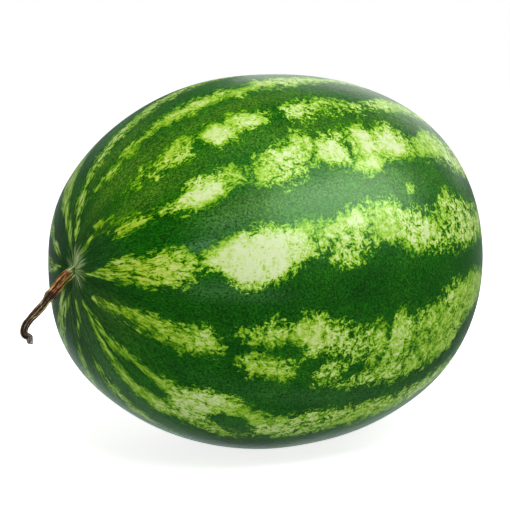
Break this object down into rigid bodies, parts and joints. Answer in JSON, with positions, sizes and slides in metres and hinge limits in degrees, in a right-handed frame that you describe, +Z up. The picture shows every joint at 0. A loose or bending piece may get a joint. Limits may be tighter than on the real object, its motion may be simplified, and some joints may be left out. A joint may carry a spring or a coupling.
{
  "type": "watermelon",
  "caption": "Whole oval watermelon with a striped green rind and a short dried stalk, lying on its side on a small flat spot.",
  "frame": {"origin": "on the surface that the fruit rests on, in its flat resting spot, straight below the middle of the fruit's length", "axes": "+X along the long axis towards the blossom end, with the stalk at the -X end, and +Z up"},
  "size_m": [0.3405, 0.2526, 0.2494],
  "materials": {
    "rind": "waxy semi-gloss skin, dark green with jagged pale green stripes",
    "dried_stalk": "dry, ridged and matt, red-brown to grey-brown"
  },
  "bodies": {
    "root": {"fruit": "rind", "stem": "dried_stalk"}
  },
  "joints": []
}
